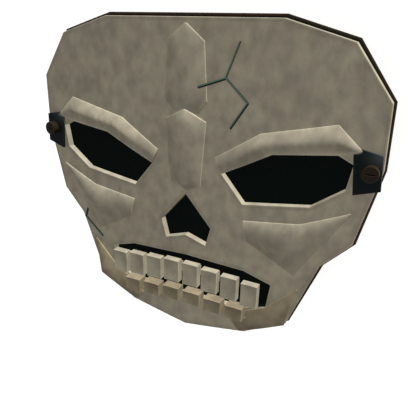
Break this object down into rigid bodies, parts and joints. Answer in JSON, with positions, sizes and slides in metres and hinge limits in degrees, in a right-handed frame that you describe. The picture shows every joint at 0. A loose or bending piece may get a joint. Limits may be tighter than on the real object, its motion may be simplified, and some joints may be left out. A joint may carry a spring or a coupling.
{
  "type": "skull mask",
  "caption": "Full-face skull mask with a bowed bone-look shell, raised brows and cheekbones, block teeth, a black backing and a brown rim band that leaves a hollow for the face.",
  "frame": {"origin": "middle of the outline on the plane of the rear rim, with the mask lying face up", "axes": "+X to the viewer's right, +Y to the top of the mask, +Z out of the face"},
  "size_m": [0.2138, 0.1902, 0.0486],
  "materials": {
    "bone_resin": "cast resin, mottled bone paint, matte",
    "aged_resin": "cast resin, brown stain, matte",
    "black_board": "black fibreboard, matte",
    "scrim_cloth": "black woven scrim",
    "brown_leather": "stiff dark brown leather",
    "black_steel": "black lacquered steel, satin",
    "brown_screw": "brown oxide, satin",
    "crack_paint": "dark green paint, satin"
  },
  "bodies": {
    "root": {"shell": "bone_resin", "backing": "black_board", "rim_band": "brown_leather", "eye_scrim_left": "scrim_cloth", "eye_scrim_right": "scrim_cloth", "brow_left": "bone_resin", "brow_right": "bone_resin", "forehead_ridge": "bone_resin", "nose_ridge": "bone_resin", "cheekbone_left": "bone_resin", "cheekbone_right": "bone_resin", "jaw_plate_left": "aged_resin", "jaw_plate_right": "aged_resin", "upper_tooth_1": "bone_resin", "upper_tooth_2": "bone_resin", "upper_tooth_3": "bone_resin", "upper_tooth_4": "bone_resin", "upper_tooth_5": "bone_resin", "upper_tooth_6": "bone_resin", "upper_tooth_7": "bone_resin", "upper_tooth_8": "bone_resin", "lower_tooth_1": "aged_resin", "lower_tooth_2": "aged_resin", "lower_tooth_3": "aged_resin", "lower_tooth_4": "aged_resin", "lower_tooth_5": "aged_resin", "lower_tooth_6": "aged_resin", "strap_lug_left": "black_steel", "strap_lug_right": "black_steel", "lug_screw_left": "brown_screw", "lug_screw_right": "brown_screw", "crack_forehead": "crack_paint", "crack_cheek": "crack_paint"}
  },
  "joints": []
}
